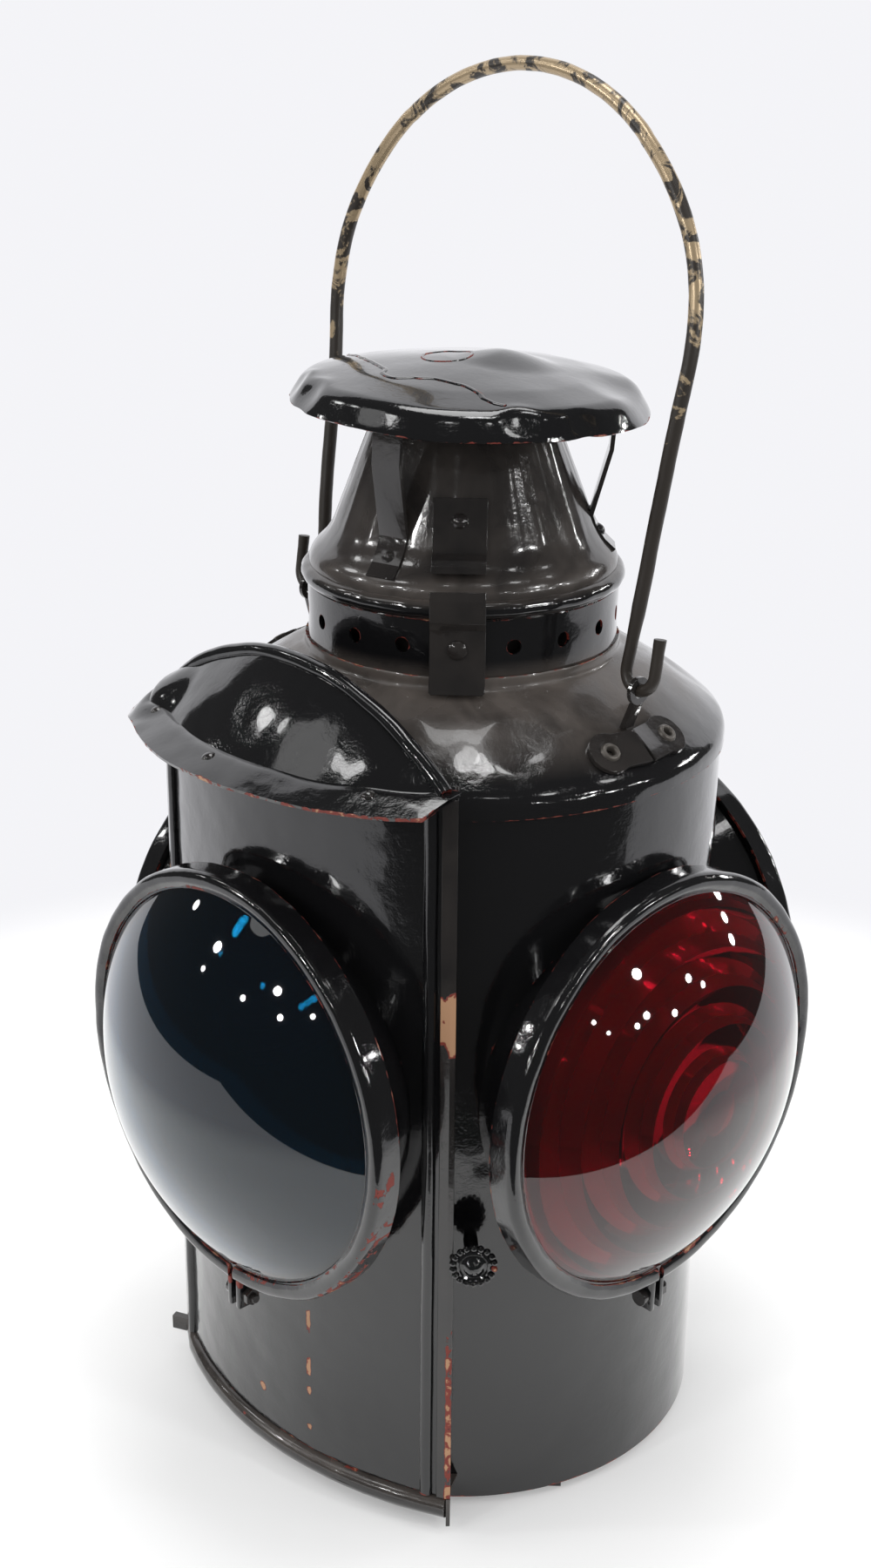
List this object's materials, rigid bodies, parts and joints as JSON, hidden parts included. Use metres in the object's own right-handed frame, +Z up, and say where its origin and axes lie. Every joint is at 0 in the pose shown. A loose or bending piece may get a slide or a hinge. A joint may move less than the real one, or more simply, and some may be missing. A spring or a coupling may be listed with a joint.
{
  "type": "railroad signal lantern",
  "caption": "Upright sheet-metal signal lantern with round body, bulging coloured lenses on four sides, sliding hooded door, hinged vented chimney and wire bail.",
  "frame": {"origin": "on the lamp's vertical axis, in the plane that the base bars stand on, where the spindle socket opens", "axes": "+Z up along the lamp's axis; the sliding door faces -Y; the bail's pivots lie along X"},
  "size_m": [0.258, 0.264, 0.4844],
  "materials": {
    "black_paint": "glossy black enamel over red oxide, chipped and worn along its edges",
    "dark_steel": "dark oiled steel with thin worn paint",
    "spring_steel": "dark spring steel, rubbed bright at its bends",
    "worn_wire": "steel wire with tan patina and remains of black paint",
    "tinned_steel": "dull tinned sheet steel",
    "old_brass": "dull brass with brown patina",
    "felt": "pressed felt packing, dark with age",
    "wick_cotton": "woven cotton wick, charred at its top",
    "red_glass": "deep red pressed glass, smooth outside and stepped inside",
    "blue_glass": "deep blue pressed glass, smooth outside and stepped inside"
  },
  "bodies": {
    "body": {"body_shell": "black_paint", "bottom_pan": "black_paint", "base_bars": "black_paint", "base_rivets": "dark_steel", "spindle_socket": "dark_steel", "font_stand": "dark_steel", "font_clips": "spring_steel", "door_sill": "black_paint", "door_guide_right": "black_paint", "door_guide_left": "black_paint", "shoulder": "black_paint", "vent_collar": "black_paint", "wind_baffle": "dark_steel", "ear_right": "black_paint", "ear_left": "black_paint", "ear_rivets": "dark_steel", "chimney_hinge_leaf": "black_paint", "chimney_hinge_pin": "dark_steel", "latch_rivet": "dark_steel", "lens_collar_right": "black_paint", "lens_collar_back": "black_paint", "lens_collar_left": "black_paint", "lens_gasket_right": "felt", "lens_gasket_back": "felt", "lens_gasket_left": "felt", "lens_right": "red_glass", "lens_back": "blue_glass", "lens_left": "red_glass", "lens_ring_right": "black_paint", "lens_ring_back": "black_paint", "lens_ring_left": "black_paint", "clamp_bolts": "dark_steel", "clamp_nuts": "dark_steel", "oil_font": "tinned_steel", "burner": "old_brass", "burner_cone": "old_brass"},
    "chimney": {"chimney_cone": "black_paint", "chimney_ring": "black_paint", "hat_straps": "black_paint", "strap_rivets": "dark_steel", "hat": "black_paint", "chimney_hinge_strap": "black_paint", "hasp_plate": "black_paint"},
    "bail": {"bail": "worn_wire"},
    "door": {"door_panel": "black_paint", "door_hood": "black_paint", "hood_rivets": "dark_steel", "door_lens_collar": "black_paint", "door_lens_gasket": "felt", "door_lens": "blue_glass", "door_lens_ring": "black_paint", "door_clamp_bolt": "dark_steel", "door_clamp_nut": "dark_steel"},
    "latch": {"latch_strip": "spring_steel"},
    "knob": {"lock_knob": "dark_steel"},
    "wick_wheel": {"wick_shaft": "old_brass"},
    "wick": {"wick": "wick_cotton"},
    "cap": {"filler_cap": "old_brass"}
  },
  "joints": [
    {"name": "bail_swing", "type": "hinge", "parent": "body", "child": "bail", "pos_m": [0, 0, 0.295], "axis": [1, 0, 0], "range_deg": [-95, 110]},
    {"name": "door_slide", "type": "slide", "parent": "body", "child": "door", "axis": [0, 0, 1], "range_m": [0, 0.11]},
    {"name": "chimney_hinge", "type": "hinge", "parent": "body", "child": "chimney", "pos_m": [-0.02451, 0.05257, 0.3175], "axis": [-0.9063, -0.4226, 0], "range_deg": [0, 80]},
    {"name": "latch_flex", "type": "hinge", "parent": "body", "child": "latch", "pos_m": [0.03737, -0.0387, 0.3068], "axis": [0.7193, 0.6947, 0], "range_deg": [0, 5], "stiffness_Nm_per_rad": 0.5},
    {"name": "lock_turn", "type": "hinge", "parent": "body", "child": "knob", "pos_m": [0.06792, -0.05905, 0.11], "axis": [0.7547, -0.6561, 0], "range_deg": [0, 90]},
    {"name": "wick_turn", "type": "hinge", "parent": "body", "child": "wick_wheel", "pos_m": [0.00375, 0, 0.1271], "axis": [0, 1, 0], "range_deg": [-80, 200]},
    {"name": "wick_lift", "type": "slide", "parent": "body", "child": "wick", "axis": [0, 0, 1], "range_m": [-0.004, 0.01]},
    {"name": "cap_turn", "type": "hinge", "parent": "body", "child": "cap", "pos_m": [-0.026, 0, 0.1101], "axis": [0, 0, 1], "range_deg": [0, 300]}
  ],
  "couplings": [
    {"joint": "wick_lift", "follows": "wick_turn", "m_per_rad": 0.00275}
  ]
}
